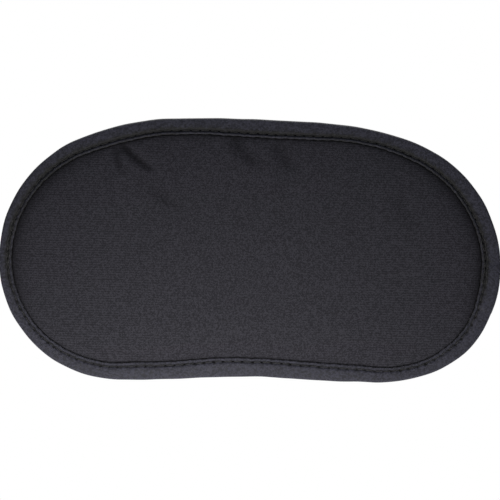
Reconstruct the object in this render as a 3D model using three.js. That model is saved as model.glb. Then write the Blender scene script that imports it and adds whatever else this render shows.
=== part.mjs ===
// A padded sleep mask with a bound edge and one elastic strap.
// Millimetres, +Z up. The front faces -Y, and the flat of the back lining lies in the plane y = 0.
import * as THREE from 'three';
import { mergeVertices } from 'three/addons/utils/BufferGeometryUtils.js';

// ---------------------------------------------------------------- driving dimensions

// The outline of the right half, from the top centre round to the nose arch.
const TOP_HEIGHT = 48.3;                  // top edge above the origin, on the centre line
const BROW_RADIUS = 530;                  // nearly straight top edge
const BROW_SWEEP = 3.14;                  // degrees
const SHOULDER_RADIUS = 103;              // from the brow towards the temple
const SHOULDER_SWEEP = 19.13;
const TEMPLE_RADIUS = 48.5;               // the upper side
const TEMPLE_SWEEP = 68.1;
const CHEEK_RADIUS = 43.5;                // the lower side, down to the nose arch
const NOSE_ANGLE = 3.63;                  // how far the cheek arc turns past level
const MAX_STEP = 7.5;                     // degrees of arc per facet

// The layers, as distances from the plane halfway through the edge.
const MID_PLANE_Y = -2.2;
const FABRIC = 0.4;                       // thickness of the panel and the lining
const LAYER_GAP = 0.05;
const PINCHED = 0.95;                     // half the sewn stack's thickness under the binding
const PUFFED = 2.2;                       // half the padded middle's thickness
const LAYER_INSET = 1.7;                  // cut edge of the fabrics, inside the fold of the tape
const FOAM_INSET = 2.2;
const FRONT_RISE = [[6.9, 0], [9, 0.44], [12, 0.84], [15.5, 1]];      // inset, share of the rise
const BACK_RISE = [[6.9, 0], [11.5, 0.08], [15, 0.64], [19, 1]];

// The binding tape, folded over the edge.
const TAPE_WIDTH = 6.6;                   // on each face
const TAPE_INNER = 1.05;                  // half the space inside the fold
const SEAM_INSET = 5.3;                   // stitch line
const THREAD = 0.26;

// The elastic strap.
const STRAP_WIDTH = 20;
const STRAP_THICKNESS = 1.0;
const STRAP_SEWN_FROM = 88.8;             // end of the elastic, inside the fold of the tape
const STRAP_SEWN_TO = 83.8;               // just inside the tape's inner edge
const STRAP_GAP = 0.3;                    // between strap sections
const ROOT_TURN_RADIUS = 8;               // bend from the lining towards the rear
const LOOP_DEPTH = 102;                   // rear of the loop behind the bend
const ARM_SWEEP = 12;                     // degrees of the loop's ellipse that belong to an arm
const STRAP_LIFT = STRAP_THICKNESS + LAYER_GAP;
const LIFT_FULL = 13;                     // the tape is raised over the strap this far from mid-height
const LIFT_NONE = 20;

// The reinforcing zigzag over each strap end.
const TACK_LENGTH = 20;
const TACK_REACH = 1.1;                   // to each side of the stitch line
const TACK_STITCHES = 18;
const TACK_LEVEL = 1.62;                  // its underside, from the middle plane

const COLOURS = {
  panel: 0x35343a,
  lining: 0x2c2c30,
  foam: 0x4b4b4d,
  binding: 0x3c3d44,
  thread: 0x222226,
  elastic: 0x232326,
};

// ---------------------------------------------------------------- outline

const rad = THREE.MathUtils.degToRad;

// One arc of the outline. Normals are angles from +X in the XZ plane.
function arc(centre, radius, fromNormal, toNormal, concave) {
  return { centre, radius, fromNormal, toNormal, concave };
}

function pointOnArc(a, normal, inset) {
  const reach = a.concave ? -(a.radius + inset) : a.radius - inset;
  return new THREE.Vector2(
    a.centre.x + reach * Math.cos(normal),
    a.centre.y + reach * Math.sin(normal),
  );
}

// Convex arcs run tangent to one another from the top centre. A concave arc closes them at the nose.
function rightHalfArcs() {
  const cheekSweep = 180 + NOSE_ANGLE - BROW_SWEEP - SHOULDER_SWEEP - TEMPLE_SWEEP;
  const turns = [
    [BROW_RADIUS, BROW_SWEEP],
    [SHOULDER_RADIUS, SHOULDER_SWEEP],
    [TEMPLE_RADIUS, TEMPLE_SWEEP],
    [CHEEK_RADIUS, cheekSweep],
  ];
  const arcs = [];
  let normal = rad(90);
  let start = new THREE.Vector2(0, TOP_HEIGHT);
  for (const [radius, sweep] of turns) {
    const outward = new THREE.Vector2(Math.cos(normal), Math.sin(normal));
    const centre = start.clone().addScaledVector(outward, -radius);
    const next = normal - rad(sweep);
    const turn = arc(centre, radius, normal, next, false);
    arcs.push(turn);
    start = pointOnArc(turn, next, 0);
    normal = next;
  }
  const noseRadius = start.x / Math.sin(rad(NOSE_ANGLE));
  const outward = new THREE.Vector2(Math.cos(normal), Math.sin(normal));
  const noseCentre = start.clone().addScaledVector(outward, noseRadius);
  arcs.push(arc(noseCentre, noseRadius, normal, rad(-90), true));
  return arcs;
}

const HALF = rightHalfArcs();

// A closed ring of points at a constant distance inside the outline, clockwise seen from the front.
function ring(inset) {
  const right = [];
  for (const a of HALF) {
    const steps = Math.ceil(Math.abs(a.toNormal - a.fromNormal) / rad(MAX_STEP));
    for (let i = 0; i < steps; i++) {
      const normal = THREE.MathUtils.lerp(a.fromNormal, a.toNormal, i / steps);
      right.push(pointOnArc(a, normal, inset));
    }
  }
  const nose = HALF[HALF.length - 1];
  const bottom = pointOnArc(nose, nose.toNormal, inset);
  const left = right.slice(1).reverse().map((p) => new THREE.Vector2(-p.x, p.y));
  return [...right, bottom, ...left];
}

// The point of the right side whose outward normal has the given angle.
function sidePoint(normal, inset) {
  const a = HALF.find((turn) => !turn.concave && normal >= turn.toNormal && normal <= turn.fromNormal);
  return pointOnArc(a, normal, inset);
}

// ---------------------------------------------------------------- closed meshes

function closedGeometry(positions, triangles) {
  const geometry = new THREE.BufferGeometry();
  geometry.setAttribute('position', new THREE.Float32BufferAttribute(positions, 3));
  geometry.setIndex(triangles);
  geometry.computeVertexNormals();
  return geometry;
}

// Quads between two loops of the same length. They face the side from which the path from
// the first loop to the second, and on along the second, turns anticlockwise.
function bridge(triangles, first, second, count) {
  for (let i = 0; i < count; i++) {
    const j = (i + 1) % count;
    triangles.push(first + i, second + i, second + j);
    triangles.push(first + i, second + j, first + j);
  }
}

// A sheet or pad between two surfaces, each given from the edge inwards as [inset, distance] pairs.
// The distance is measured from the middle plane towards the back.
function padGeometry(frontProfile, backProfile) {
  const positions = [];
  const triangles = [];
  const count = ring(0).length;
  const addRing = ([inset, distance]) => {
    const first = positions.length / 3;
    for (const p of ring(inset)) {
      positions.push(p.x, MID_PLANE_Y + distance, p.y);
    }
    return first;
  };
  const front = frontProfile.map(addRing);
  const back = backProfile.map(addRing);
  bridge(triangles, back[0], front[0], count);
  for (let k = 0; k + 1 < front.length; k++) {
    bridge(triangles, front[k], front[k + 1], count);
  }
  for (let k = 0; k + 1 < back.length; k++) {
    bridge(triangles, back[k + 1], back[k], count);
  }
  const [frontInset] = frontProfile[frontProfile.length - 1];
  for (const [a, b, c] of THREE.ShapeUtils.triangulateShape(ring(frontInset), [])) {
    const first = front[front.length - 1];
    triangles.push(first + a, first + b, first + c);
  }
  const [backInset] = backProfile[backProfile.length - 1];
  for (const [a, b, c] of THREE.ShapeUtils.triangulateShape(ring(backInset), [])) {
    const first = back[back.length - 1];
    triangles.push(first + a, first + c, first + b);
  }
  return closedGeometry(positions, triangles);
}

// How far the tape's back leg is raised at a point of the outline, from 0 to 1.
function liftShare(point) {
  const side = Math.abs(point.x) > STRAP_SEWN_TO / 2;
  return side ? 1 - THREE.MathUtils.smoothstep(Math.abs(point.y), LIFT_FULL, LIFT_NONE) : 0;
}

// A closed loop round the mask. Each section point is [inset, distance, share of the strap's lift].
function loopGeometry(section) {
  const positions = [];
  const triangles = [];
  const edge = ring(0);
  const count = edge.length;
  for (const [inset, distance, share] of section) {
    ring(inset).forEach((p, i) => {
      const lift = share * STRAP_LIFT * liftShare(edge[i]);
      positions.push(p.x, MID_PLANE_Y + distance + lift, p.y);
    });
  }
  for (let k = 0; k < section.length; k++) {
    bridge(triangles, ((k + 1) % section.length) * count, k * count, count);
  }
  return closedGeometry(positions, triangles);
}

// A flat outline in the XZ plane, given thickness towards the front.
function frontPlate(points, backY, thickness) {
  const geometry = new THREE.ExtrudeGeometry(new THREE.Shape(points), {
    depth: thickness,
    bevelEnabled: false,
  });
  geometry.rotateX(Math.PI / 2);
  geometry.translate(0, backY, 0);
  return geometry;
}

// ---------------------------------------------------------------- fabric layers

// One surface of the padding, offset from the outer surface by a depth.
function surface(sign, edgeInset, rise, depth) {
  const level = (share) => sign * (PINCHED + share * (PUFFED - PINCHED) - depth);
  return [[edgeInset, level(0)], ...rise.map(([inset, share]) => [inset, level(share)])];
}

function frontPanel() {
  return padGeometry(
    surface(-1, LAYER_INSET, FRONT_RISE, 0),
    surface(-1, LAYER_INSET, FRONT_RISE, FABRIC),
  );
}

function foamPad() {
  const depth = FABRIC + LAYER_GAP;
  return padGeometry(
    surface(-1, FOAM_INSET, FRONT_RISE, depth),
    surface(1, FOAM_INSET, BACK_RISE, depth),
  );
}

function backLining() {
  return padGeometry(
    surface(1, LAYER_INSET, BACK_RISE, FABRIC),
    surface(1, LAYER_INSET, BACK_RISE, 0),
  );
}

// ---------------------------------------------------------------- binding and stitches

function edgeBinding() {
  // From the fold at the edge to the lip, over one face of the mask: inset, distance, lift share.
  const outside = [
    [0.35, 0.95, 0.5],
    [1.3, 1.5, 1],
    [3.6, 1.58, 1],
    [SEAM_INSET, 1.25, 1],
    [6.1, 1.5, 1],
    [TAPE_WIDTH, 1.42, 1],
  ];
  const inside = [
    [TAPE_WIDTH, TAPE_INNER, 1],
    [1.4, TAPE_INNER, 1],
    [0.6, 0.5, 0.3],
  ];
  const onFront = ([inset, distance]) => [inset, -distance, 0];
  const section = [
    [0, 0, 0],
    ...outside,
    ...inside,
    ...inside.map(onFront).reverse(),
    ...outside.map(onFront).reverse(),
  ];
  return loopGeometry(section);
}

// A thread lying in the groove of the stitch line. The side is -1 on the front and 1 on the back.
function seamThread(side) {
  const near = 1.3;
  const far = near + THREAD;
  const share = side > 0 ? 1 : 0;
  const corners = [
    [SEAM_INSET - THREAD / 2, near],
    [SEAM_INSET - THREAD / 2, far],
    [SEAM_INSET + THREAD / 2, far],
    [SEAM_INSET + THREAD / 2, near],
  ];
  const section = corners.map(([inset, distance]) => [inset, side * distance, share]);
  return loopGeometry(side > 0 ? section : section.reverse());
}

// A zigzag of thread across the stitch line, over the sewn strap end of the right side.
function strapTack() {
  const temple = HALF[2];
  const seamRadius = TEMPLE_RADIUS - SEAM_INSET;
  const middle = Math.asin(-temple.centre.y / seamRadius);
  const halfAngle = TACK_LENGTH / 2 / seamRadius;
  const halfBand = THREAD;
  const outer = [];
  const inner = [];
  for (let i = 0; i <= TACK_STITCHES; i++) {
    const normal = middle + THREE.MathUtils.lerp(halfAngle, -halfAngle, i / TACK_STITCHES);
    const inset = SEAM_INSET + (i % 2 === 0 ? TACK_REACH : -TACK_REACH);
    outer.push(sidePoint(normal, inset - halfBand));
    inner.push(sidePoint(normal, inset + halfBand));
  }
  return frontPlate([...outer, ...inner.reverse()], MID_PLANE_Y - TACK_LEVEL, THREAD);
}

// ---------------------------------------------------------------- elastic strap

const STRAP_ROOT_Y = MID_PLANE_Y + PINCHED + LAYER_GAP + STRAP_THICKNESS / 2;
const ARM_FROM = STRAP_SEWN_TO - STRAP_GAP;
const LOOP_HALF_WIDTH = ARM_FROM - ROOT_TURN_RADIUS;
const LOOP_START_Y = STRAP_ROOT_Y + ROOT_TURN_RADIUS;

// The bend from the lining to the rear, at a distance across from the strap's middle layer.
function rootTurn(across, steps) {
  const radius = ROOT_TURN_RADIUS + across;
  const bend = new THREE.ArcCurve(ARM_FROM, LOOP_START_Y, radius, rad(-90), rad(-180), true);
  return bend.getPoints(steps);
}

// Part of the loop's ellipse, from one angle to another, at a distance across from the middle layer.
function loopPart(across, from, to, steps) {
  const ellipse = new THREE.EllipseCurve(
    0, LOOP_START_Y, LOOP_HALF_WIDTH - across, LOOP_DEPTH - across, rad(from), rad(to), false,
  );
  return ellipse.getPoints(steps);
}

// A band that stands on edge: an outline seen from above, extruded over the strap's width.
function bandGeometry(outerSide, innerSide) {
  const outline = new THREE.Shape([...outerSide, ...innerSide.reverse()]);
  const geometry = new THREE.ExtrudeGeometry(outline, { depth: STRAP_WIDTH, bevelEnabled: false });
  geometry.translate(0, 0, -STRAP_WIDTH / 2);
  return geometry;
}

function strapEnd() {
  const near = STRAP_ROOT_Y - STRAP_THICKNESS / 2;
  const far = STRAP_ROOT_Y + STRAP_THICKNESS / 2;
  const nearSide = [new THREE.Vector2(STRAP_SEWN_FROM, near), new THREE.Vector2(STRAP_SEWN_TO, near)];
  const farSide = [new THREE.Vector2(STRAP_SEWN_FROM, far), new THREE.Vector2(STRAP_SEWN_TO, far)];
  return bandGeometry(nearSide, farSide);
}

function strapArm() {
  const half = STRAP_THICKNESS / 2;
  const side = (across) => [...rootTurn(across, 6), ...loopPart(across, 0, ARM_SWEEP, 3).slice(1)];
  return bandGeometry(side(half), side(-half));
}

function strapRear() {
  const half = STRAP_THICKNESS / 2;
  const gap = THREE.MathUtils.radToDeg(STRAP_GAP / LOOP_DEPTH);
  const from = ARM_SWEEP + gap;
  const side = (across) => loopPart(across, from, 180 - from, 23);
  return bandGeometry(side(-half), side(half));
}

// ---------------------------------------------------------------- assembly

function material(colour, roughness) {
  return new THREE.MeshStandardMaterial({ color: colour, roughness, metalness: 0 });
}

const MATERIALS = {
  panel: material(COLOURS.panel, 0.95),
  lining: material(COLOURS.lining, 0.9),
  foam: material(COLOURS.foam, 1),
  binding: material(COLOURS.binding, 0.85),
  thread: material(COLOURS.thread, 0.6),
  elastic: material(COLOURS.elastic, 0.85),
};

const mask = new THREE.Group();

function add(name, geometry, look) {
  const plain = geometry.clone();
  plain.deleteAttribute('normal');
  plain.deleteAttribute('uv');
  const mesh = new THREE.Mesh(mergeVertices(plain, 1e-4), look);
  mesh.name = name;
  mask.add(mesh);
}

// The same piece on the other side of the centre line, with its faces turned outwards again.
function mirrored(geometry) {
  const copy = geometry.index ? geometry.toNonIndexed() : geometry.clone();
  copy.scale(-1, 1, 1);
  const { array } = copy.getAttribute('position');
  for (let i = 0; i < array.length; i += 9) {
    for (let k = 0; k < 3; k++) {
      [array[i + k], array[i + 3 + k]] = [array[i + 3 + k], array[i + k]];
    }
  }
  return copy;
}

function addPair(name, geometry, look) {
  add(`${name}_right`, geometry, look);
  add(`${name}_left`, mirrored(geometry), look);
}

add('front_panel', frontPanel(), MATERIALS.panel);
add('foam_pad', foamPad(), MATERIALS.foam);
add('back_lining', backLining(), MATERIALS.lining);
add('edge_binding', edgeBinding(), MATERIALS.binding);
add('needle_thread', seamThread(-1), MATERIALS.thread);
add('bobbin_thread', seamThread(1), MATERIALS.thread);
addPair('strap_end', strapEnd(), MATERIALS.elastic);
addPair('strap_arm', strapArm(), MATERIALS.elastic);
add('strap_rear', strapRear(), MATERIALS.elastic);
addPair('strap_tack', strapTack(), MATERIALS.thread);

export default mask;
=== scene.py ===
import math

import bmesh
import bpy
import numpy as np
from mathutils.geometry import delaunay_2d_cdt
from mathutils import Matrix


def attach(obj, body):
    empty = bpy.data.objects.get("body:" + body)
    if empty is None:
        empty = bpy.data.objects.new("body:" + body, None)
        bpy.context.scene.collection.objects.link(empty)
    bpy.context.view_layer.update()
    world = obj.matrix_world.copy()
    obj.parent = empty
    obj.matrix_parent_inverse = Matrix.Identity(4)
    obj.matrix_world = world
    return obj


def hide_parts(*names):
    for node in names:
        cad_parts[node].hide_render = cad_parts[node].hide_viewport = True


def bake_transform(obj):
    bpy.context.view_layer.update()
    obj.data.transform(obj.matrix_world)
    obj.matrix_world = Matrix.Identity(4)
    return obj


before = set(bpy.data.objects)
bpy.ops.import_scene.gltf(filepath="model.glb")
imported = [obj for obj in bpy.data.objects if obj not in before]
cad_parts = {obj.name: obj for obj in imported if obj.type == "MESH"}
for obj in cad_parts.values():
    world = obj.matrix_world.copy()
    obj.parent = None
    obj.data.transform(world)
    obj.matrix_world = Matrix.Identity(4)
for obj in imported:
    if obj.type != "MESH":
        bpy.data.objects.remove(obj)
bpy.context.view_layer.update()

# A padded sleep mask with a bound edge and an elastic strap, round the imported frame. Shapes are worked
# out in millimetres, and become metres when a mesh is made.
MM = 0.001
RANDOM = np.random.default_rng(41)
FRONT, BACK = -1, 1       # the two faces of the mask, by the sign of y from its middle plane

# ---- driving dimensions, in millimetres

# The outline's arcs from the top centre to the nose arch: radius and degrees.
ARCS = ((530, 3.14), (103, 19.13), (48.5, 68.1), (43.5, 93.26))
TOP_HEIGHT = 48.3
HALF_WIDTH = 92
HALF_HEIGHT = 48

MID_PLANE_Y = -2.2        # where the mask's front and back halves meet
TAPE_INSIDE = 0.86        # half the space inside the fold of the tape
RIM_HALF = 0.96           # half the padding's thickness at the tape's inner edge
STITCHED_HALF = 0.56      # half the padding's thickness where the stitches pull it tight
GROOVE_FROM_LIP = 1.45    # the stitch line, from the tape's inner edge
CREST_FROM_LIP = 0.7      # the raised inner edge
STITCH = 3.5              # about this long, so that a whole number goes round
THREAD_RADIUS = 0.14
HOLE_GAP = 0.12           # the thread goes down this far from the middle of a hole
BACK_TAPE_WIDTH = 6.5
FABRIC = 0.35             # thickness of the panel and the lining
PUFFED = 2.2              # half the padding's thickness away from the tape
FRONT_CROWN = 0.9         # how much further the middle rises
BACK_CROWN = 0.1
FOAM_SHARE = 0.55         # how much of the space between the fabrics the foam fills
SHEET_SPACING = 2.0       # between the points of the fabrics, before they are subdivided
FOAM_SPACING = 3.0
HELD_RINGS = 4            # how many rings of the fabric's points the tape holds
CLOTH_FRAMES = 20
MOST_SWELL = 0.9          # no point of the fabric moves further in the simulation

STRAP_WIDTH = 20.0
STRAP_THICKNESS = 1.0
STRAP_SEWN_FROM = 88.8
STRAP_SEWN_TO = 83.5
ROOT_TURN_RADIUS = 8.0
LOOP_DEPTH = 102.0
STRAP_ROOT_Y = -0.7
LOOP_HALF_WIDTH = STRAP_SEWN_TO - ROOT_TURN_RADIUS
LOOP_START_Y = STRAP_ROOT_Y + ROOT_TURN_RADIUS
SPLIT_Y = 33.0            # the side pieces end here, and the rear piece begins
ELASTIC_RIB = 1.25
RIB_HEIGHT = 0.07
BAND_STEP = 0.9

# Along the edge, clockwise from the top centre as the front is seen, in millimetres: how far the soft
# edge has crept outwards, and how much tape shows on the front.
EDGE_FEEL = (
    (0, 0.0, 6.75),
    (20, -0.2, 6.7),
    (45, -0.2, 6.1),
    (85, -0.1, 7.1),
    (130, 0.1, 6.8),
    (155, 0.7, 6.2),
    (182, -1.0, 5.7),
    (205, 0.2, 6.3),
    (235, -0.15, 7.0),
    (252, 0.4, 7.1),
    (270, 1.1, 6.2),
    (300, 0.2, 6.0),
    (325, -0.15, 5.4),
    (360, 0.1, 4.9),
    (390, 0.4, 5.6),
    (420, 0.5, 6.3),
    (452, 0.5, 5.9),
)

# The overlapping join of the tape, and the strap ends' reinforcing stitches.
JOIN_FROM = 119.5
JOIN_TO = 137.0
JOIN_SLANT = 0.3          # how far the fold leans along the edge, for each millimetre across the tape
JOIN_MIDDLE = 3.0         # the inset at which the fold is at JOIN_FROM
JOIN_STEP = 0.3
TACK_HALF = 10.0

# Soft creases on the front: start, end, depth and half width.
CREASES = (
    ((-47.7, 37.4), (-36.5, 28.4), -0.9, 1.25),
    ((-49.9, 36.6), (-47.9, 27.7), -0.6, 1.3),
    ((-42.5, 38.5), (-35.0, 32.5), 0.3, 1.6),
    ((-37.4, 23.2), (-26.2, 14.2), -0.3, 2.3),
    ((-7.9, 41.2), (2.5, 30.6), -0.5, 2.3),
    ((8.7, 39.2), (15.7, 29.8), -0.4, 2.3),
    ((52.0, 22.0), (60.0, 9.0), -0.2, 3.0),
)


# ---- outline

def half_arcs():
    """The right half's arcs: centre, radius, first and last angle of the outward normal, and side."""
    arcs = []
    angle = math.radians(90)
    x, z = 0.0, TOP_HEIGHT
    for radius, sweep in ARCS:
        cx = x - radius * math.cos(angle)
        cz = z - radius * math.sin(angle)
        turned = angle - math.radians(sweep)
        arcs.append((cx, cz, radius, angle, turned, 1))
        x = cx + radius * math.cos(turned)
        z = cz + radius * math.sin(turned)
        angle = turned
    level = math.radians(-90)
    radius = x / math.sin(level - angle)
    cx = x + radius * math.cos(angle)
    cz = z + radius * math.sin(angle)
    arcs.append((cx, cz, radius, angle, level, -1))
    return arcs


HALF = half_arcs()
ARC_LENGTHS = [radius * abs(last - first) for _, _, radius, first, last, _ in HALF]
ARC_STARTS = np.concatenate([[0.0], np.cumsum(ARC_LENGTHS)])
HALF_LENGTH = ARC_STARTS[-1]
EDGE_LENGTH = 2 * HALF_LENGTH


def edge_at(s):
    """Points and outward normals of the outline in the XZ plane, at distances s along it."""
    s = np.mod(np.asarray(s, float), EDGE_LENGTH)
    left = s > HALF_LENGTH
    t = np.where(left, EDGE_LENGTH - s, s)
    which = np.clip(np.searchsorted(ARC_STARTS, t, side="right") - 1, 0, len(HALF) - 1)
    cx, cz, radius, first, last, side = (np.array(column)[which] for column in zip(*HALF))
    share = (t - ARC_STARTS[which]) / np.array(ARC_LENGTHS)[which]
    angle = first + (last - first) * share
    normal = np.stack([np.cos(angle), np.sin(angle)], 1)
    point = np.stack([cx, cz], 1) + (side * radius)[:, None] * normal
    flip = np.where(left, -1.0, 1.0)
    point[:, 0] *= flip
    normal[:, 0] *= flip
    return point, normal


def round_the_edge(column, s):
    """A smooth closed curve through a column of EDGE_FEEL, at distances s."""
    s = np.mod(np.asarray(s, float), EDGE_LENGTH)
    at = np.array([row[0] for row in EDGE_FEEL], float)
    value = np.array([row[column] for row in EDGE_FEEL], float)
    count = len(at)
    after = np.roll(at, -1)
    after[-1] += EDGE_LENGTH
    before = np.roll(at, 1)
    before[0] -= EDGE_LENGTH
    slope = (np.roll(value, -1) - np.roll(value, 1)) / (after - before)
    i = np.clip(np.searchsorted(at, s, side="right") - 1, 0, count - 1)
    j = (i + 1) % count
    span = after[i] - at[i]
    t = (s - at[i]) / span
    return (
        (2 * t**3 - 3 * t**2 + 1) * value[i]
        + (t**3 - 2 * t**2 + t) * span * slope[i]
        + (-2 * t**3 + 3 * t**2) * value[j]
        + (t**3 - t**2) * span * slope[j]
    )


def wobble(s, waves, size, seed):
    """A smooth closed irregular line along the edge, made of sines that fit it a whole number of times."""
    draw = np.random.default_rng(seed)
    total = np.zeros_like(s)
    for wave in waves:
        turns = round(EDGE_LENGTH / wave)
        total += draw.uniform(0.5, 1) * np.sin(2 * np.pi * turns * s / EDGE_LENGTH + draw.uniform(0, 6.28))
    return size * total / math.sqrt(len(waves))


def smooth(t):
    """0 up to t = 0, 1 from t = 1, and an even curve between them."""
    t = np.clip(t, 0, 1)
    return t * t * (3 - 2 * t)


def settle(x, z):
    """Moves points of the mask's plane with the soft edge's creep, which fades towards the middle."""
    s = np.linspace(0, EDGE_LENGTH, 400, endpoint=False)
    point, _ = edge_at(s)
    around = np.arctan2(point[:, 1], point[:, 0])
    order = np.argsort(around)
    creep = round_the_edge(1, s)[order]
    reach = np.hypot(point[:, 0], point[:, 1])[order]
    angle = np.arctan2(z, x)
    here = np.hypot(x, z)
    outline = np.interp(angle, around[order], reach, period=2 * np.pi)
    push = np.interp(angle, around[order], creep, period=2 * np.pi)
    scale = 1 + push / outline * np.clip(here / outline, 0, 1.2) ** 2
    return x * scale, z * scale


def nearest_of(points, line):
    """For each point, the distance to the nearest point of the line and that one's index."""
    away = np.empty(len(points))
    index = np.empty(len(points), int)
    for first in range(0, len(points), 2000):
        part = slice(first, first + 2000)
        gap = points[part, None, :] - line[None, :, :]
        distance = np.hypot(gap[:, :, 0], gap[:, :, 1])
        away[part] = distance.min(1)
        index[part] = distance.argmin(1)
    return away, index


def lengths_along(points):
    """How far along a line of points each of them is."""
    return np.concatenate([[0.0], np.cumsum(np.linalg.norm(np.diff(points, axis=0), axis=1))])


def directions(points):
    """Unit vectors along a line of points."""
    tangent = np.gradient(points, axis=0)
    return tangent / np.linalg.norm(tangent, axis=1)[:, None]


# ---- meshes

def new_object(name, vertices_mm, faces, uvs=None):
    """An object from points in millimetres and faces. uvs gives one (u, v) in metres per face corner."""
    mesh = bpy.data.meshes.new(name)
    mesh.from_pydata((np.asarray(vertices_mm) * MM).tolist(), [], faces)
    if uvs is not None:
        layer = mesh.uv_layers.new(name="cloth")
        layer.data.foreach_set("uv", np.asarray(uvs, np.float32).ravel())
    mesh.update()
    made = bpy.data.objects.new(name, mesh)
    bpy.context.scene.collection.objects.link(made)
    mesh.shade_smooth()
    return made


def grid_cells(rows, columns, wrap_rows, wrap_columns):
    """The row and the column that each quad of a grid starts at."""
    i = np.arange(rows if wrap_rows else rows - 1)
    j = np.arange(columns if wrap_columns else columns - 1)
    a, b = np.meshgrid(i, j, indexing="ij")
    return a.ravel(), b.ravel()


def grid_faces(rows, columns, wrap_rows, wrap_columns):
    """Quads of a grid of rows by columns of points."""
    a, b = grid_cells(rows, columns, wrap_rows, wrap_columns)
    up, over = (a + 1) % rows, (b + 1) % columns
    return np.stack([a * columns + b, up * columns + b, up * columns + over, a * columns + over], 1)


def grid_uvs(rows, columns, wrap_rows, wrap_columns, u, v):
    """Corner coordinates for grid_faces. u has an entry for each row line and v for each column line."""
    a, b = grid_cells(rows, columns, wrap_rows, wrap_columns)
    corners = [(a, b), (a + 1, b), (a + 1, b + 1), (a, b + 1)]
    return np.stack([np.stack([u[p], v[q]], 1) for p, q in corners], 1).reshape(-1, 2)


def apply_modifiers(made):
    """Makes the object's modifiers part of its mesh."""
    graph = bpy.context.evaluated_depsgraph_get()
    finished = made.evaluated_get(graph)
    mesh = bpy.data.meshes.new_from_object(finished, preserve_all_data_layers=True, depsgraph=graph)
    old = made.data
    made.modifiers.clear()
    made.data = mesh
    bpy.data.meshes.remove(old)


def open_mesh(made):
    """The object's mesh, open for editing."""
    mesh = bmesh.new()
    mesh.from_mesh(made.data)
    return mesh


def close_mesh(mesh, made):
    mesh.to_mesh(made.data)
    mesh.free()


def points_of(made):
    """The object's vertices in millimetres."""
    out = np.empty(len(made.data.vertices) * 3, np.float32)
    made.data.vertices.foreach_get("co", out)
    return out.reshape(-1, 3).astype(float) / MM


def set_points(made, points):
    made.data.vertices.foreach_set("co", (points * MM).astype(np.float32).ravel())
    made.data.update()


def mark(made, name, values):
    """Stores one value for each point of the mesh, for its material."""
    layer = made.data.attributes.new(name, "FLOAT", "POINT")
    layer.data.foreach_set("value", np.asarray(values, np.float32).ravel())


# ---- materials

# The Mix node has colour sockets among others with the same names, so they go by number.
MIX_FIRST, MIX_SECOND, MIX_RESULT = 6, 7, 2


class Look:
    """The nodes of a material, or of the world. Its methods return sockets."""

    def __init__(self, name, world=False):
        self.owner = (bpy.data.worlds if world else bpy.data.materials).new(name)
        self.owner.use_nodes = True
        self.tree = self.owner.node_tree

    def fill(self, node, given):
        """Links or sets a node's inputs, by name or number."""
        for key, value in given.items():
            if isinstance(value, bpy.types.NodeSocket):
                self.tree.links.new(value, node.inputs[key])
            else:
                node.inputs[key].default_value = value

    def node(self, kind, given, **settings):
        """Adds a node with these inputs and settings, and returns its outputs."""
        made = self.tree.nodes.new(kind)
        for key, value in settings.items():
            setattr(made, key, value)
        self.fill(made, given)
        return made.outputs

    def math(self, operation, first, second=0.0, third=0.0):
        return self.node("ShaderNodeMath", {0: first, 1: second, 2: third}, operation=operation)[0]

    def scaled(self, value, times, plus):
        return self.math("MULTIPLY_ADD", value, times, plus)

    def split(self, vector):
        return self.node("ShaderNodeSeparateXYZ", {0: vector})

    def place(self):
        """The position on the object, in metres."""
        return self.node("ShaderNodeTexCoord", {})["Object"]

    def cloth(self):
        """The position on the flat cloth: u along and v across, in metres."""
        return self.node("ShaderNodeUVMap", {}, uv_map="cloth")[0]

    def wave(self, value, pitch, shift=0.0):
        """From -1 to 1, once for each pitch in metres."""
        return self.math("SINE", self.scaled(value, 2 * math.pi / pitch, shift))

    def noise(self, vector, size, detail=3.0, rough=0.55):
        """From 0 to 1, in patches of about size metres."""
        given = {"Vector": vector, "Scale": 1 / size, "Detail": detail, "Roughness": rough}
        return self.node("ShaderNodeTexNoise", given)["Fac"]

    def cells(self, vector, size):
        """Small patches of about size metres: the distance from a patch's middle, and its random colour."""
        made = self.node("ShaderNodeTexVoronoi", {"Vector": vector, "Scale": 1 / size}, feature="F1")
        return made["Distance"], made["Color"]

    def patchy(self, vector, size):
        """A random value from 0 to 1 for each small patch."""
        return self.split(self.cells(vector, size)[1])[0]

    def attribute(self, name):
        """A value stored on the mesh's points."""
        return self.node("ShaderNodeAttribute", {}, attribute_name=name)["Fac"]

    def shaded(self, place):
        """How much a sheet is in shade: in its creases, and in a crisp ragged line along the tape."""
        ragged = self.math("MULTIPLY", self.noise(place, 0.0016, 2.0), -0.5)
        past = self.math("ADD", self.attribute("gap"), ragged)
        return self.math("MAXIMUM", self.attribute("painted_shade"), self.spread(past, 0.0, 0.3, 0.97, 0.0))

    def spread(self, value, low, high, to_low, to_high):
        """Maps low and high to to_low and to_high, and holds what lies beyond them."""
        given = dict(enumerate((value, low, high, to_low, to_high)))
        return self.node("ShaderNodeMapRange", given)[0]

    def mix(self, share, first, second):
        given = {0: share, MIX_FIRST: first, MIX_SECOND: second}
        return self.node("ShaderNodeMix", given, data_type="RGBA")[MIX_RESULT]

    def bump(self, height, depth, strength):
        """The shader's input for bump whose height of 1 is depth metres."""
        given = {"Height": height, "Distance": depth, "Strength": strength}
        return {"Normal": self.node("ShaderNodeBump", given)[0]}

    def finish(self, colour, roughness, normal, sheen=0.0, sheen_roughness=0.5, specular=0.3):
        given = {
            "Base Color": colour,
            "Roughness": roughness,
            "Sheen Weight": sheen,
            "Sheen Roughness": sheen_roughness,
            "Specular IOR Level": specular,
            "Diffuse Roughness": 1.0,
        }
        self.fill(self.tree.nodes["Principled BSDF"], given | normal)
        return self.owner


def rgb(red, green, blue):
    return (red, green, blue, 1.0)


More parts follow.
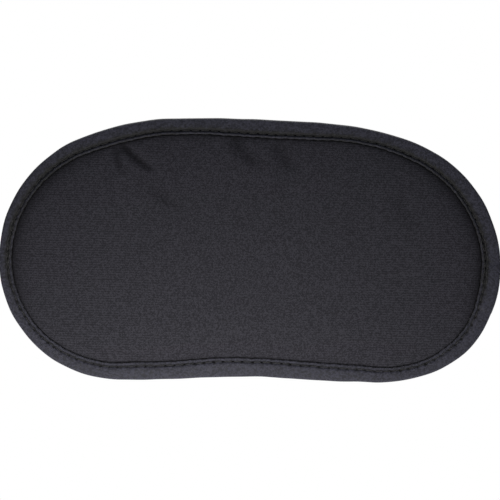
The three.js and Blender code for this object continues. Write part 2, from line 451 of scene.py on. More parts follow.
def panel_look():
    """Matte polyester with fine horizontal ribs, and a salt and pepper speckle of broken yarns."""
    look = Look("panel_fabric")
    place = look.place()
    x, _, z = look.split(place)
    drift = look.noise(place, 0.03, 2.0)
    level = look.scaled(drift, 0.0006, z)
    rib = look.wave(level, 0.00088)
    clearer = look.spread(look.math("ABSOLUTE", x), 0.02, 0.055, 0.10, 0.48)
    stagger = look.wave(z, 0.00176)
    loop = look.wave(x, 0.0006, look.math("MULTIPLY", stagger, 1.3))
    speckle = look.noise(place, 0.00055, 2.0, 0.9)
    loops = look.patchy(place, 0.0004)
    patches = look.noise(place, 0.010, 4.0)
    height = look.scaled(rib, 0.35, look.math("MULTIPLY", loop, 0.15))
    height = look.scaled(speckle, 2.0, height)
    tone = look.scaled(rib, clearer, look.scaled(speckle, 5.2, -2.1))
    tone = look.math("ADD", tone, look.scaled(loops, 1.7, -0.9))
    tone = look.math("ADD", tone, look.spread(loops, 0.9, 1.0, 0.0, 1.0))
    tone = look.math("ADD", tone, look.spread(patches, 0.3, 0.7, -0.05, 0.05))
    colour = look.mix(tone, rgb(0.0121, 0.0119, 0.0156), rgb(0.0250, 0.0246, 0.0319))
    # Painted shade: darkens the panel in its creases and in a crisp ragged line along the tape's inner edge.
    colour = look.mix(look.shaded(place), colour, rgb(0.0010, 0.0010, 0.0015))
    roughness = look.spread(speckle, 0.35, 0.65, 0.82, 0.98)
    normal = look.bump(height, 0.00009, 0.8)
    return look.finish(colour, roughness, normal, sheen=0.02, sheen_roughness=0.45, specular=0.06)


def lining_look():
    """Soft plain weave with a faint nap."""
    look = Look("lining_fabric")
    place = look.place()
    x, _, z = look.split(place)
    warp = look.wave(x, 0.00056)
    weft = look.wave(z, 0.00056)
    over = look.math("MULTIPLY", warp, weft)
    nap = look.noise(place, 0.0005, 3.0, 0.7)
    patches = look.noise(place, 0.015, 3.0)
    tone = look.scaled(over, 0.2, look.spread(nap, 0.3, 0.7, 0.2, 0.8))
    tone = look.math("ADD", tone, look.spread(patches, 0.3, 0.7, -0.1, 0.1))
    colour = look.mix(tone, rgb(0.017, 0.017, 0.02), rgb(0.036, 0.036, 0.041))
    # Painted shade: darkens the lining in its creases and in a crisp ragged line along the tape.
    colour = look.mix(look.shaded(place), colour, rgb(0.003, 0.003, 0.004))
    height = look.scaled(over, 0.5, nap)
    normal = look.bump(height, 0.00008, 0.7)
    return look.finish(colour, look.spread(nap, 0.3, 0.7, 0.85, 1.0), normal, sheen=0.04, specular=0.12)


def tape_look():
    """Closely woven polyester tape cut on the bias, so its threads run diagonally."""
    look = Look("binding_tape")
    u, v, _ = look.split(look.cloth())
    place = look.place()
    rising = look.math("ADD", u, v)
    falling = look.math("SUBTRACT", u, v)
    warp = look.wave(rising, 0.0007)
    weft = look.wave(falling, 0.0007)
    weave = look.scaled(warp, 0.6, look.math("MULTIPLY", weft, 0.4))
    speckle = look.noise(place, 0.0007, 2.0, 0.9)
    patches = look.noise(place, 0.006, 3.0)
    tone = look.scaled(weave, 0.14, look.scaled(speckle, 5.6, -2.25))
    tone = look.math("ADD", tone, look.spread(patches, 0.3, 0.7, -0.1, 0.1))
    tone = look.math("ADD", tone, look.scaled(look.patchy(place, 0.00045), 1.9, -0.95))
    colour = look.mix(tone, rgb(0.0085, 0.0087, 0.0143), rgb(0.0236, 0.0238, 0.0366))
    # Painted shade with a ragged noisy border: darker in the stitched groove and its pits, on and under the
    # inner edge, and at the outer fold.
    shade_raggedness = look.scaled(look.noise(place, 0.0009, 3.0, 0.9), 2.4, -1.2)
    shade = look.spread(look.math("ADD", shade_raggedness, look.attribute("painted_shade")), 0.1, 0.85, 0.0, 0.97)
    colour = look.mix(shade, colour, rgb(0.0010, 0.0011, 0.0017))
    height = look.scaled(weave, 0.5, look.math("MULTIPLY", speckle, 2.0))
    normal = look.bump(height, 0.00006, 0.7)
    roughness = look.spread(speckle, 0.35, 0.65, 0.66, 0.84)
    return look.finish(colour, roughness, normal, sheen=0.06, sheen_roughness=0.4, specular=0.2)


def thread_look():
    """Twisted polyester sewing thread."""
    look = Look("thread")
    u, v, _ = look.split(look.cloth())
    twist = look.wave(look.scaled(v, 0.6, u), 0.0005)
    colour = look.mix(look.spread(twist, -1, 1, 0, 1), rgb(0.003, 0.003, 0.004), rgb(0.008, 0.008, 0.010))
    normal = look.bump(twist, 0.00005, 0.8)
    return look.finish(colour, look.spread(twist, -1, 1, 0.62, 0.5), normal, sheen=0.05, specular=0.3)


def elastic_look():
    """Knitted elastic: lengthwise ribs of rubber cores under a fine herringbone of yarn."""
    look = Look("elastic")
    u, v, _ = look.split(look.cloth())
    place = look.place()
    core = look.wave(v, ELASTIC_RIB * MM)
    slant = look.math("MULTIPLY", look.math("ABSOLUTE", core), 0.00045)
    yarn = look.wave(look.math("ADD", u, slant), 0.00075)
    fuzz = look.noise(place, 0.0004, 2.0, 0.7)
    tone = look.scaled(yarn, 0.25, look.spread(core, -1, 1, 0.15, 0.7))
    tone = look.math("ADD", tone, look.spread(fuzz, 0.3, 0.7, -0.15, 0.15))
    colour = look.mix(tone, rgb(0.009, 0.009, 0.011), rgb(0.03, 0.03, 0.034))
    height = look.scaled(yarn, 0.6, fuzz)
    normal = look.bump(height, 0.0001, 0.8)
    return look.finish(colour, look.spread(yarn, -1, 1, 0.85, 0.65), normal, sheen=0.15, specular=0.3)


def foam_look():
    """Open-cell polyurethane foam."""
    look = Look("foam")
    place = look.place()
    pores, _ = look.cells(place, 0.0007)
    tint = look.noise(place, 0.01, 2.0)
    tone = look.math("ADD", pores, look.spread(tint, 0.3, 0.7, -0.1, 0.1))
    colour = look.mix(tone, rgb(0.03, 0.03, 0.032), rgb(0.1, 0.1, 0.105))
    normal = look.bump(pores, 0.0002, 0.9)
    return look.finish(colour, look.spread(pores, 0, 1, 0.8, 1.0), normal, specular=0.2)


# ---- stitch line

STITCH_COUNT = round(EDGE_LENGTH / STITCH)
STITCH_PITCH = EDGE_LENGTH / STITCH_COUNT
EVEN_HOLES = (np.arange(STITCH_COUNT) + 0.5) * STITCH_PITCH
HOLES = EVEN_HOLES + RANDOM.uniform(-0.22, 0.22, STITCH_COUNT)
HOLE_DEPTH = RANDOM.uniform(0.7, 1.25, STITCH_COUNT)


def shortest_way(distance):
    """The same distance round the edge, the shorter way."""
    return np.mod(distance + EDGE_LENGTH / 2, EDGE_LENGTH) - EDGE_LENGTH / 2


def from_hole(s):
    """The distance along the edge to the nearest needle hole, and that hole's depth share."""
    s = np.mod(s, EDGE_LENGTH)
    after = np.searchsorted(HOLES, s) % STITCH_COUNT
    before = (after - 1) % STITCH_COUNT
    gap_after = shortest_way(HOLES[after] - s)
    gap_before = shortest_way(s - HOLES[before])
    nearer = gap_after < gap_before
    return np.where(nearer, gap_after, gap_before), HOLE_DEPTH[np.where(nearer, after, before)]


def seam_wander(s):
    """How far the stitch line strays from its even distance to the tape's inner edge."""
    return wobble(s, (37, 23, 11), 0.09, 5)


def join_share(s, inset=JOIN_MIDDLE):
    """1 on the overlap of the tape's ends. Its upper end is a crisp slanting fold, and its lower runs out."""
    folded = JOIN_FROM + JOIN_SLANT * (inset - JOIN_MIDDLE)
    return smooth((s - folded) / 0.45) * (1 - smooth((s - JOIN_TO) / 1.2))


def strap_lift(s):
    """How far the strap end under the tape raises its back leg."""
    point, _ = edge_at(s)
    over_strap = 1 - smooth((np.abs(point[:, 1]) - (STRAP_WIDTH / 2 + 0.3)) / 3.2)
    at_the_sides = np.abs(point[:, 0]) > 60
    return (STRAP_THICKNESS + 0.06) * over_strap * at_the_sides


def tape_width(s, side):
    """The tape's width on one face, with its small irregularities."""
    if side == FRONT:
        return round_the_edge(2, s) + wobble(s, (29, 17, 9), 0.07, 8) + 0.28 * join_share(s)
    return BACK_TAPE_WIDTH + wobble(s, (41, 26, 13), 0.16, 9) + 0.25 * join_share(s)


# ---- binding

def tape_profile(width):
    """The tape's outer line over one face, from the fold to the inner edge, and its inner line back.

    width is an array along the edge. Returns insets and heights, a row for each point of the lines, and
    a column that is 1 on the outer line and 0 on the inner one."""
    groove = width - GROOVE_FROM_LIP
    outer = [
        (0.0, 0.0), (0.06, 0.55), (0.27, 1.02), (0.68, 1.34), (1.3, 1.46),
        ((1.3 + groove - 1.25) / 2, 1.52), (groove - 1.25, 1.49),
        (groove - 0.72, 1.4), (groove - 0.32, 1.12), (groove, 0.84),
        (groove + 0.34, 1.12), (width - CREST_FROM_LIP, 1.5), (width - 0.36, 1.5), (width - 0.1, 1.28),
        (width, 1.06),
    ]
    inner = [
        (width - 0.22, 1.0), (groove + 0.1, STITCHED_HALF), (groove - 0.6, STITCHED_HALF + 0.1),
        (groove - 1.8, TAPE_INSIDE), (2.0, TAPE_INSIDE), (1.1, 0.62), (0.8, 0.0),
    ]
    there, back = (
        np.array([np.stack([inset + 0 * width, height + 0 * width], 1) for inset, height in pairs])
        for pairs in (outer, inner)
    )
    there = curve_through(there, 3)
    is_outer = np.concatenate([np.ones(len(there)), np.zeros(len(back))])[:, None]
    return np.concatenate([there, back]), is_outer


def curve_through(points, steps):
    """A Catmull-Rom curve through rows of points, with steps spans between each two."""
    before = np.concatenate([2 * points[:1] - points[1:2], points[:-1]])
    after = np.concatenate([points[1:], 2 * points[-1:] - points[-2:-1]])
    made = []
    for i in range(len(points) - 1):
        p0, p1, p2, p3 = before[i], points[i], points[i + 1], after[i + 1]
        for k in range(steps):
            t = k / steps
            made.append(
                0.5 * (2 * p1 + (p2 - p0) * t + (2 * p0 - 5 * p1 + 4 * p2 - p3) * t**2
                       + (3 * p1 - p0 - 3 * p2 + p3) * t**3)
            )
    made.append(points[-1])
    return np.array(made)


def stitched(inset, height, s, width, outer=1.0):
    """Pulls the tape's outer face down at the needle holes, and gathers it between them."""
    along, depth = from_hole(s)
    groove = width - GROOVE_FROM_LIP + seam_wander(s)
    across = inset - groove
    hole = np.exp(-((along / 0.5) ** 2)) * depth
    between = np.cos(2 * np.pi * along / STITCH_PITCH)
    pull = 0.24 * hole * np.exp(-(((across + 0.1) / 0.6) ** 2))
    ridges = 0.07 * between * depth * np.exp(-(((np.abs(across) - 0.9) / 0.6) ** 2))
    scallop = 0.09 * between * smooth((inset - groove) / 1.2)
    uneven = wobble(s + 1.4 * across, (5.3, 3.7, 7.1, 2.6), 1.0, 12)
    drag = 0.11 * uneven * np.exp(-((across + 1.7) / 1.4) ** 2)
    return inset - scallop * outer, height - (pull + ridges - drag) * outer


def seam_shade(inset, s, width):
    """How much a point of the tape is in shade, up to 0.97: in the stitched groove and its pits, on the
    inner edge and under it, and at the outer fold. Most of it is less along the bottom of the mask."""
    along, depth = from_hole(s)
    across = inset - width + GROOVE_FROM_LIP - seam_wander(s)
    ragged = wobble(s, (7.3, 4.7, 3.1, 2.2), 0.2, 17)
    point, _ = edge_at(s.ravel())
    aside = smooth((np.abs(point[:, 0]) - 60) / 25)
    low = smooth((-point[:, 1] - 8) / 22)
    high = smooth(point[:, 1] / 30) * smooth((np.abs(point[:, 0]) - 8) / 15)
    outwards = (1.3 - 0.7 * low) * (1 + ragged) + 0.35 * depth * np.exp(-((along / 0.8) ** 2))
    reach = np.where(across < 0, outwards, 0.38)
    groove = (0.95 - 0.55 * low) * np.exp(-(((across - 0.25 * low) / reach) ** 2))
    pointed = across + 0.3 - 0.45 * along
    pit = (0.45 + 0.3 * low) * np.exp(-((along / 1.1) ** 2) - (pointed / 0.4) ** 2) * depth
    lip = (0.14 + 0.20 * aside * (1 - low) + 0.22 * high) * smooth((across - 0.3) / 0.3)
    under_lip = 0.7 * smooth((across - GROOVE_FROM_LIP + 0.3) / 0.3)
    fold = 0.45 * (1 - 0.6 * low) * (1 - smooth(inset / 0.75))
    return np.clip(groove + pit + lip + under_lip + fold, 0, 0.97)


def edge_stations():
    """Distances along the edge, closer together at the crisp end of the tape's join."""
    even = np.linspace(0, EDGE_LENGTH, 684, endpoint=False)
    extra = JOIN_FROM + np.arange(-1.1, 1.9, 0.15) + 0.02
    return np.sort(np.concatenate([even, extra]))


def make_binding():
    s = edge_stations()
    point, normal = edge_at(s)
    overlap = join_share(s)
    faces_of_tape = []
    tape_shades = []
    for side in (FRONT, BACK):
        width = tape_width(s, side)
        profile, outer = tape_profile(width)
        inset, height = profile[:, :, 0], profile[:, :, 1]
        # Painted shade for the tape's outer face, stored for its material.
        tape_shades.append(outer * seam_shade(inset, s[None, :], width[None, :]))
        inset, height = stitched(inset, height, s[None, :], width[None, :], outer)
        height = height + JOIN_STEP * join_share(s[None, :], inset) * outer * smooth(inset / 1.2)
        height = height + outer * smooth(inset / 2) * wobble(s, (61, 33, 19), 0.05, 20 + side)
        if side == BACK:
            height = height + strap_lift(s) * smooth((inset - 0.4) / 1.4)
        faces_of_tape.append((inset, side * height))
    (front_inset, front_height), (back_inset, back_height) = faces_of_tape
    # One closed section: the back's outer and inner lines, then the front's inner and outer lines reversed.
    inset = np.concatenate([back_inset, front_inset[-2:0:-1]])
    height = np.concatenate([back_height, front_height[-2:0:-1]])
    swell = wobble(s, (53, 31, 18, 12), 0.1, 31) + 0.12 * overlap
    inset = inset - swell * (1 - smooth(inset / 3))
    x = point[:, 0] - inset * normal[:, 0]
    z = point[:, 1] - inset * normal[:, 1]
    x, z = settle(x, z)
    y = MID_PLANE_Y + height
    rows, columns = x.shape
    vertices = np.stack([x, y, z], 2).reshape(-1, 3)
    across = np.diff(inset, axis=0, append=inset[:1])
    through = np.diff(height, axis=0, append=height[:1])
    steps = np.hypot(across, through)
    v = np.concatenate([[0.0], np.cumsum(steps.mean(1))]) * MM
    u = np.append(s, EDGE_LENGTH) * MM
    faces = grid_faces(rows, columns, True, True)
    uvs = grid_uvs(rows, columns, True, True, v, u)[:, ::-1]
    made = new_object("edge_binding_tape", vertices, faces.tolist(), uvs)
    mark(made, "painted_shade", np.concatenate([tape_shades[1], tape_shades[0][-2:0:-1]]))
    return made


# ---- threads

def tube(points, radius, sides):
    """A closed tube along a line of points, narrower at both ends.

    Returns vertices, faces and corner coordinates."""
    count = len(points)
    tangent = directions(points)
    side = np.cross(tangent, [0.0, 1.0, 0.0])
    short = np.linalg.norm(side, axis=1) < 1e-3
    side[short] = [1.0, 0.0, 0.0]
    side /= np.linalg.norm(side, axis=1)[:, None]
    up = np.cross(side, tangent)
    angle = np.arange(sides) * 2 * np.pi / sides
    radii = np.full(count, radius)
    radii[[0, -1]] = radius * 0.45
    ring = np.cos(angle)[None, :, None] * side[:, None, :] + np.sin(angle)[None, :, None] * up[:, None, :]
    vertices = points[:, None, :] + radii[:, None, None] * ring
    length = lengths_along(points)
    round_about = np.arange(sides + 1) * 2 * np.pi * radius / sides
    faces = grid_faces(count, sides, False, True)
    uvs = grid_uvs(count, sides, False, True, length * MM, round_about * MM)
    caps = [list(range(sides)), [(count - 1) * sides + k for k in range(sides)][::-1]]
    reversed_uvs = uvs.reshape(-1, 4, 2)[:, ::-1].reshape(-1, 2)
    corners = np.concatenate([reversed_uvs, np.zeros((2 * sides, 2))])
    return vertices.reshape(-1, 3), faces[:, ::-1].tolist() + caps, corners


def join_meshes(name, parts):
    """One object from several lots of vertices, faces and corner coordinates."""
    vertices, faces, uvs, offset = [], [], [], 0
    for points, polygons, corners in parts:
        vertices.append(points)
        faces += [[index + offset for index in polygon] for polygon in polygons]
        uvs.append(corners)
        offset += len(points)
    return new_object(name, np.concatenate(vertices), faces, np.concatenate(uvs))


def on_tape(s, across, above, side):
    """Points near the stitch line: so far across from it, and so far above the tape."""
    width = tape_width(s, side)
    inset = width - GROOVE_FROM_LIP + seam_wander(s) + across
    profile, outer = tape_profile(width)
    line = profile[outer[:, 0] > 0]
    heights = np.array([np.interp(inset[k], line[:, k, 0], line[:, k, 1]) for k in range(len(s))])
    _, heights = stitched(inset, heights, s, width)
    heights = heights + JOIN_STEP * join_share(s, inset) + above
    if side == BACK:
        heights = heights + strap_lift(s)
    point, normal = edge_at(s)
    x, z = settle(point[:, 0] - inset * normal[:, 0], point[:, 1] - inset * normal[:, 1])
    return np.stack([x, MID_PLANE_Y + side * heights, z], 1)


def stitch_run(start, end, side, shift_start=0.0, shift_end=0.0):
    """One stitch from hole to hole, diving into the tape at both ends."""
    t = np.array([0.0, 0.05, 0.12, 0.25, 0.5, 0.75, 0.88, 0.95, 1.0])
    above = np.array([-0.45, -0.12, 0.05, 0.13, 0.16, 0.13, 0.05, -0.12, -0.45])
    s = start + (end - start) * t
    across = shift_start + (shift_end - shift_start) * t
    return on_tape(s, across, above, side)


def make_seam(name, side):
    """The stitches of one face, a separate thread from each hole to the next."""
    parts = []
    for i in range(STITCH_COUNT):
        start = HOLES[i]
        end = HOLES[i + 1] if i + 1 < STITCH_COUNT else HOLES[0] + EDGE_LENGTH
        parts.append(tube(stitch_run(start + HOLE_GAP, end - HOLE_GAP, side), THREAD_RADIUS, 8))
    return join_meshes(name, parts)


def side_distance(height, right):
    """The distance along the edge of the point at this height on the right or left side."""
    s = np.linspace(60, 170, 2201)
    point, _ = edge_at(s)
    found = float(np.interp(-height, -point[:, 1], s))
    return found if right else EDGE_LENGTH - found


def make_tack(name, right):
    """Two more runs of short stitches beside the seam, over the strap end, on both faces."""
    draw = np.random.default_rng(3 if right else 4)
    first, last = sorted((side_distance(TACK_HALF, right), side_distance(-TACK_HALF, right)))
    parts = []
    for side in (FRONT, BACK):
        for run, offset in enumerate((-0.55, 0.5)):
            s = first + draw.uniform(0, 1)
            across = offset
            while s < last:
                step = draw.uniform(1.5, 2.4)
                next_across = offset + draw.uniform(-0.35, 0.35)
                line = stitch_run(s, s + step, side, across, next_across)
                line[:, 1] += side * 0.1 * (run + 1)
                parts.append(tube(line, THREAD_RADIUS, 6))
                s += step
                across = next_across
    return join_meshes(name, parts)


# ---- padding

def ramp_length(s, side):
    """How far in from the tape the padding takes to reach its full height."""
    if side == BACK:
        return np.full(len(s), 13.0)
    point, _ = edge_at(s)
    return 10.5 - 4.0 * smooth((-point[:, 1] - 10) / 30)


def gap_from_tape(x, z, side):
    """How far points of the mask's plane lie inside the tape's inner edge, and the ramp's length there."""
    s = np.linspace(0, EDGE_LENGTH, 900, endpoint=False)
    point, _ = edge_at(s)
    away, nearest = nearest_of(np.stack([x, z], 1), point)
    return away - tape_width(s, side)[nearest], ramp_length(s, side)[nearest]


def padded_height(x, z, side):
    """Half thickness of the padding over the mask's plane, before the fabric has been inflated."""
    gap, length = gap_from_tape(x, z, side)
    inside = gap + 0.2
    t = np.clip(inside / length, 0, 1)
    rise = RIM_HALF + (PUFFED - RIM_HALF) * (1 - (1 - t) ** 2.6)
    pinch = (RIM_HALF - STITCHED_HALF + 0.04) * (1 - smooth((inside + 1.15) / 1.1))
    middle = np.clip(1 - (x / HALF_WIDTH) ** 2 - (z / HALF_HEIGHT) ** 2, 0, 1)
    return rise - pinch + middle * (FRONT_CROWN if side == FRONT else BACK_CROWN)


def sheet_layout(side, spacing):
    """Flat points and faces that fill the mask's outline: rings along the tape, then an even grid.

    Returns the points, the quads of the rings, the triangles within them, and the points of a ring."""
    count = int(EDGE_LENGTH / spacing)
    s = np.linspace(0, EDGE_LENGTH, count, endpoint=False)
    point, normal = edge_at(s)
    width = tape_width(s, side)
    rings = []
    for inset in (width * 0 + 2.3, width * 0.62, width - 0.9, width + 0.1, width + 1.2, width + 2.6):
        rings.append(point - inset[:, None] * normal)
    inner = rings[-1]
    gx = np.arange(-HALF_WIDTH, HALF_WIDTH, spacing)
    gz = np.arange(-HALF_HEIGHT, HALF_HEIGHT, spacing)
    grid = np.stack(np.meshgrid(gx, gz, indexing="ij"), 2).reshape(-1, 2)
    away, nearest = nearest_of(grid, inner)
    outward = ((grid - inner[nearest]) * normal[nearest]).sum(1)
    inside = grid[(outward < 0) & (away > 0.62 * spacing)]
    loop = list(range(count))
    points, _, faces, origin, _, _ = delaunay_2d_cdt(
        [tuple(p) for p in np.concatenate([inner, inside])], [], [loop], 1, 1e-6
    )
    ring_points = np.concatenate(rings[:-1])
    base = len(ring_points)
    all_points = np.concatenate([ring_points, np.array([tuple(p) for p in points])])
    order = {source: index for index, sources in enumerate(origin) for source in sources}
    last_ring = [base + order[k] for k in range(count)]
    quads = grid_faces(len(rings) - 1, count, False, True).tolist()
    join = []
    start = (len(rings) - 2) * count
    for k in range(count):
        j = (k + 1) % count
        join.append([start + k, last_ring[k], last_ring[j], start + j])
    triangles = [[base + index for index in face] for face in faces]
    return all_points, quads + join, triangles, count


def flat_sheet(name, side, spacing):
    """A sheet of fabric over one face of the padding, with its rim under the tape, and a ring's points."""
    points, quads, triangles, count = sheet_layout(side, spacing)
    height = padded_height(points[:, 0], points[:, 1], side)
    vertices = np.stack([points[:, 0], MID_PLANE_Y + side * height, points[:, 1]], 1)
    made = new_object(name, vertices, quads + triangles)
    mesh = open_mesh(made)
    soft = [face for face in mesh.faces if len(face.verts) == 3]
    bmesh.ops.join_triangles(mesh, faces=soft, angle_face_threshold=3.1, angle_shape_threshold=3.1)
    bmesh.ops.recalc_face_normals(mesh, faces=mesh.faces)
    facing = sum(face.normal.y * face.calc_area() for face in mesh.faces)
    if facing * side < 0:
        bmesh.ops.reverse_faces(mesh, faces=mesh.faces)
    close_mesh(mesh, made)
    made.data.shade_smooth()
    return made, count


def crease_depth(x, z):
    """How far the creases raise the front's fabric, below 0 in a hollow."""
    total = np.zeros(len(x))
    for start, end, depth, half_width in CREASES:
        span = np.subtract(end, start)
        length = np.linalg.norm(span)
        along = span / length
        across = np.array([-along[1], along[0]])
        px, pz = x - start[0], z - start[1]
        t = (px * along[0] + pz * along[1]) / length
        bow = -0.04 * length * np.sin(np.clip(t, 0, 1) * np.pi)
        off = px * across[0] + pz * across[1] - bow
        fade = smooth(t / 0.25 + 0.5) * smooth((1.25 - t) / 0.6)
        total += depth * fade * np.exp(-((off / half_width) ** 2))
    return total


def inflate(made, rim_count):
    """Cloth simulation: pressure from the foam against the fabric, held along the tape."""
    group = made.vertex_groups.new(name="held")
    group.add(list(range(rim_count * HELD_RINGS)), 1.0, "REPLACE")
    cloth = made.modifiers.new("cloth", "CLOTH")
    settings = cloth.settings
    settings.quality = 6
    settings.mass = 0.2
    settings.tension_stiffness = 18
    settings.compression_stiffness = 18
    settings.shear_stiffness = 8
    settings.bending_stiffness = 0.4
    settings.shrink_min = -0.006
    settings.vertex_group_mass = "held"
    settings.use_pressure = True
    settings.uniform_pressure_force = 4.0
    settings.effector_weights.gravity = 0.0
    cloth.collision_settings.use_collision = False
    scene = bpy.context.scene
    scene.frame_start, scene.frame_end = 1, CLOTH_FRAMES
    cloth.point_cache.frame_start, cloth.point_cache.frame_end = 1, CLOTH_FRAMES
    before = points_of(made)
    for frame_number in range(1, CLOTH_FRAMES + 1):
        scene.frame_set(frame_number)
    apply_modifiers(made)
    after = points_of(made)
    scene.frame_set(1)
    move = after - before
    length = np.linalg.norm(move, axis=1)
    move *= (MOST_SWELL * np.tanh(length / MOST_SWELL) / np.maximum(length, 1e-9))[:, None]
    set_points(made, before + move)


def finish_sheet(made, side):
    """Subdivides the sheet, adds its creases, settles it, marks its shade and gives it thickness."""
    smoother = made.modifiers.new("smooth", "SUBSURF")
    smoother.levels = 1
    apply_modifiers(made)
    points = points_of(made)
    x, z = points[:, 0].copy(), points[:, 2].copy()
    inside = smooth((np.abs(points[:, 1] - MID_PLANE_Y) - 0.95) / 0.5)
    swell = 0.1 * np.sin(x / 13.0 + 0.7 * np.sin(z / 17.0)) * np.cos(z / 11.0 + 0.4)
    if side == FRONT:
        swell += crease_depth(x, z)
    points[:, 1] += side * inside * swell
    points[:, 0], points[:, 2] = settle(x, z)
    set_points(made, points)
    # Painted shade, stored for the material: the fabric is darker near the tape's inner edge (widest at the
    # sides, narrowest along the bottom) and in the creases' hollows. gap gives a crisp painted contact shadow
    # along the tape.
    gap, _ = gap_from_tape(x, z, side)
    aside = smooth((np.abs(x) - 45) / 35)
    low = smooth((-z - 12) / 20)
    fade = 0.45 + 0.4 * (1 - low) + 1.3 * aside * (1 - 0.8 * low)
    shade = (0.85 - 0.35 * low) * np.exp(-np.clip(gap, 0, None) / fade)
    if side == FRONT:
        shade = shade + 0.75 * np.clip(-crease_depth(x, z), 0, 1)
    mark(made, "painted_shade", np.clip(shade, 0, 0.95))
    mark(made, "gap", gap + 0.1 * low)
    shell = made.modifiers.new("thickness", "SOLIDIFY")
    shell.thickness = FABRIC * MM
    shell.offset = -1.0
    apply_modifiers(made)
    made.data.shade_smooth()
    return made


def make_sheet(name, side):
    made, rim_count = flat_sheet(name, side, SHEET_SPACING)
    inflate(made, rim_count)
    return finish_sheet(made, side)


def make_foam():
    """The foam sheet between the fabrics, crushed thin under the tape."""
    points, quads, triangles, count = sheet_layout(BACK, FOAM_SPACING)
    sides = []
    for side in (FRONT, BACK):
        height = FOAM_SHARE * (padded_height(points[:, 0], points[:, 1], side) - FABRIC)
        sides.append(np.stack([points[:, 0], MID_PLANE_Y + side * height, points[:, 1]], 1))
    size = len(points)
    polygons = quads + triangles
    front = [list(face) for face in polygons]
    back = [[index + size for index in reversed(face)] for face in polygons]
    rim = [[k, (k + 1) % count, size + (k + 1) % count, size + k] for k in range(count)]
    made = new_object("foam_core", np.concatenate(sides), front + back + rim)
    mesh = open_mesh(made)
    bmesh.ops.recalc_face_normals(mesh, faces=mesh.faces)
    close_mesh(mesh, made)
    points = points_of(made)
    points[:, 0], points[:, 2] = settle(points[:, 0], points[:, 2])
    set_points(made, points)
    made.data.shade_smooth()
    return made


# ---- strap

def strap_path():
    """The band's middle line in the XY plane from the right side's sewn end to the left's."""
    sewn = np.stack([np.linspace(STRAP_SEWN_FROM, STRAP_SEWN_TO, 12), np.full(12, STRAP_ROOT_Y)], 1)
    turn = np.radians(np.linspace(-90, -180, 30))[1:]
    bend = np.stack([STRAP_SEWN_TO + ROOT_TURN_RADIUS * np.cos(turn),
                     LOOP_START_Y + ROOT_TURN_RADIUS * np.sin(turn)], 1)
    angle = np.radians(np.linspace(0, 90, 600))[1:]
    loop = np.stack([LOOP_HALF_WIDTH * np.cos(angle), LOOP_START_Y + LOOP_DEPTH * np.sin(angle)], 1)
    right = np.concatenate([sewn, bend, loop])
    left = right[-2::-1] * [-1, 1]
    return np.concatenate([right, left])


def even_path(points, step):
    """Even steps along a line of points, and how far along each of them is."""
    length = lengths_along(points)
    at = np.linspace(0, length[-1], int(length[-1] / step) + 1)
    return np.stack([np.interp(at, length, points[:, k]) for k in (0, 1)], 1), at


def band_section():
    """The band's ribbed cross-section with round selvedges: z, and the distance from its middle line."""
    half = STRAP_WIDTH / 2
    z = half * np.sin(np.linspace(-np.pi / 2, np.pi / 2, 15))
    z = np.unique(np.concatenate([z, np.linspace(-half * 0.97, half * 0.97, 94)]))
    body = STRAP_THICKNESS / 2 * np.sqrt(np.clip(1 - np.abs(z / half) ** 14, 0, 1))
    ribs = RIB_HEIGHT * np.cos(2 * np.pi * z / ELASTIC_RIB) * (np.abs(z) < half - 0.8)
    thick = np.maximum(body + ribs * (body > 0.3), 0.0)
    upper = np.stack([z, thick], 1)
    lower = np.stack([z[-2:0:-1], -thick[-2:0:-1]], 1)
    return np.concatenate([upper, lower])


def make_band(name, path, at, first, last):
    """A stretch of the band between two distances along its path."""
    tangent = directions(path)
    outward = np.stack([-tangent[:, 1], tangent[:, 0]], 1)
    keep = (at >= first - 1e-6) & (at <= last + 1e-6)
    path, outward, at = path[keep], outward[keep], at[keep]
    section = band_section()
    x = path[:, None, 0] + section[None, :, 1] * outward[:, None, 0]
    y = path[:, None, 1] + section[None, :, 1] * outward[:, None, 1]
    z = np.broadcast_to(section[None, :, 0], x.shape)
    rows, columns = x.shape
    vertices = np.stack([x, y, z], 2).reshape(-1, 3)
    faces = grid_faces(rows, columns, False, True)
    around = np.concatenate([section[:, 0], section[:1, 0]]) * MM
    uvs = grid_uvs(rows, columns, False, True, at * MM, around)
    caps = [list(range(columns))[::-1], [(rows - 1) * columns + k for k in range(columns)]]
    cap_uvs = np.zeros((2 * columns, 2))
    made = new_object(name, vertices, faces.tolist() + caps, np.concatenate([uvs, cap_uvs]))
    mesh = open_mesh(made)
    bmesh.ops.recalc_face_normals(mesh, faces=mesh.faces)
    cut_ends = [face for face in mesh.faces if len(face.verts) > 4]
    for face in cut_ends:
        for edge in face.edges:
            edge.smooth = False
    close_mesh(mesh, made)
    return made


def make_strap():
    """The right side, the rear and the left side of the band, which meet at SPLIT_Y."""
    path, at = even_path(strap_path(), BAND_STEP)
    right = path[:, 0] > 0
    split_right = at[right][np.abs(path[right, 1] - SPLIT_Y).argmin()]
    split_left = at[~right][np.abs(path[~right, 1] - SPLIT_Y).argmin()]
    return (
        make_band("strap_side_right", path, at, 0.0, split_right),
        make_band("strap_band_rear", path, at, split_right, split_left),
        make_band("strap_side_left", path, at, split_left, at[-1]),
    )


# ---- camera and light

IMAGE_WIDTH_MM = 184.64   # what the picture's width spans at the middle plane
LENS = 100.0
SENSOR = 36.0
ROLL = 0.0222             # the mask hangs a little askew in the picture, in radians

FLOOR_Z = -0.36
FLOOR_RADIUS = 1.1
AMBIENT = 0.12
WARM = (1.03, 1.0, 0.91)
COOL = (0.93, 1.0, 1.16)
NEUTRAL = (1.0, 1.0, 1.0)


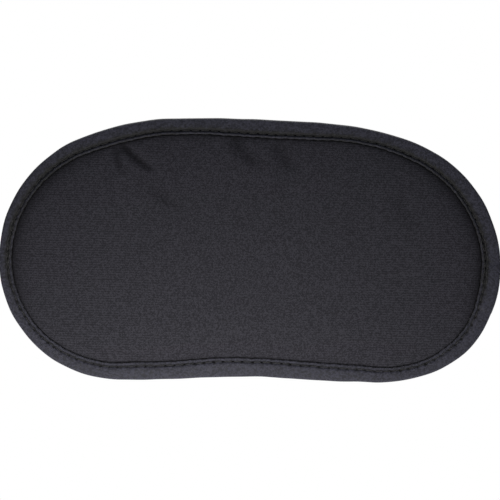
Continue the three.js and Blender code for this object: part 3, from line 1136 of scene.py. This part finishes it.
def make_camera():
    """Square on to the front, where the picture spans IMAGE_WIDTH_MM at the mask's middle plane."""
    data = bpy.data.cameras.new("camera")
    data.lens = LENS
    data.sensor_width = SENSOR
    camera = bpy.data.objects.new("camera", data)
    distance = LENS * IMAGE_WIDTH_MM / SENSOR - MID_PLANE_Y
    camera.location = (0.0, -distance * MM, 0.0)
    camera.rotation_euler = (math.radians(90), -ROLL, 0.0)
    data.clip_start, data.clip_end = 0.01, 20.0
    bpy.context.scene.collection.objects.link(camera)
    bpy.context.scene.camera = camera


def area_light(name, place, target, size, power, tint):
    """A soft rectangular light that the camera doesn't see."""
    data = bpy.data.lights.new(name, "AREA")
    data.color = tint
    data.shape = "RECTANGLE"
    data.size, data.size_y = size
    data.energy = power
    light = bpy.data.objects.new(name, data)
    light.location = place
    aim = np.array(target, float) - np.array(place, float)
    flat = math.hypot(aim[0], aim[1])
    light.rotation_euler = (math.atan2(flat, -aim[2]), 0.0, math.atan2(-aim[0], aim[1]))
    light.visible_camera = False
    bpy.context.scene.collection.objects.link(light)


def make_studio():
    """A pale floor, a white backdrop that lights the mask only faintly, and three soft lights."""
    turn = np.linspace(0, 2 * np.pi, 97)[:-1]
    rim = np.stack([np.cos(turn) * FLOOR_RADIUS, np.sin(turn) * FLOOR_RADIUS, 0 * turn + FLOOR_Z], 1)
    floor = new_object("floor", rim / MM, [list(range(len(rim)))])
    look = Look("floor_paper")
    grain = look.noise(look.place(), 0.004, 2.0)
    colour = look.mix(grain, rgb(0.88, 0.88, 0.88), rgb(0.92, 0.92, 0.92))
    floor.data.materials.append(look.finish(colour, 0.9, {}, specular=0.2))

    sky = Look("studio", world=True)
    seen = sky.node("ShaderNodeLightPath", {})["Is Camera Ray"]
    strength = sky.spread(seen, 0.0, 1.0, AMBIENT, 1.0)
    colour = sky.mix(seen, rgb(*COOL), rgb(*NEUTRAL))
    sky.fill(sky.tree.nodes["Background"], {"Strength": strength, "Color": colour})
    bpy.context.scene.world = sky.owner
    bpy.context.scene.view_settings.view_transform = "Standard"

    area_light("key", (-0.02, -0.12, -0.085), (0.0, 0.0, -0.02), (0.16, 0.06), 0.46, WARM)
    area_light("top_edge", (0.0, -0.06, 0.25), (0.0, 0.0, 0.0), (0.4, 0.06), 0.17, COOL)
    area_light("overhead", (0.0, 0.6, 1.3), (0.0, 0.25, 0.0), (1.2, 1.2), 50.0, NEUTRAL)


# ---- assembly

def dress(made, material, slot, *nodes):
    """Gives a piece its material and hides the CAD nodes it stands for. The slot is not used."""
    made.data.materials.clear()
    made.data.materials.append(material)
    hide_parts(*nodes)
    return made


make_camera()

thread = thread_look()
elastic = elastic_look()

panel = dress(make_sheet("front_panel_fabric", FRONT), panel_look(), "panel_fabric", "front_panel")
lining = dress(make_sheet("back_lining_fabric", BACK), lining_look(), "lining_fabric", "back_lining")
foam = dress(make_foam(), foam_look(), "foam", "foam_pad")
binding = dress(make_binding(), tape_look(), "binding_tape", "edge_binding")
needle = dress(make_seam("needle_stitches", FRONT), thread, "thread", "needle_thread")
bobbin = dress(make_seam("bobbin_stitches", BACK), thread, "thread", "bobbin_thread")
tack_right = dress(make_tack("strap_tack_stitches_right", True), thread, "thread", "strap_tack_right")
tack_left = dress(make_tack("strap_tack_stitches_left", False), thread, "thread", "strap_tack_left")

for piece in (panel, lining, foam, binding, needle, bobbin, tack_right, tack_left):
    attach(piece, "mask")

side_right, band_rear, side_left = make_strap()
dress(side_right, elastic, "elastic", "strap_end_right", "strap_arm_right")
dress(side_left, elastic, "elastic", "strap_end_left", "strap_arm_left")
dress(band_rear, elastic, "elastic", "strap_rear")
for piece in (side_right, side_left):
    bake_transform(piece)
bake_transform(band_rear)

make_studio()
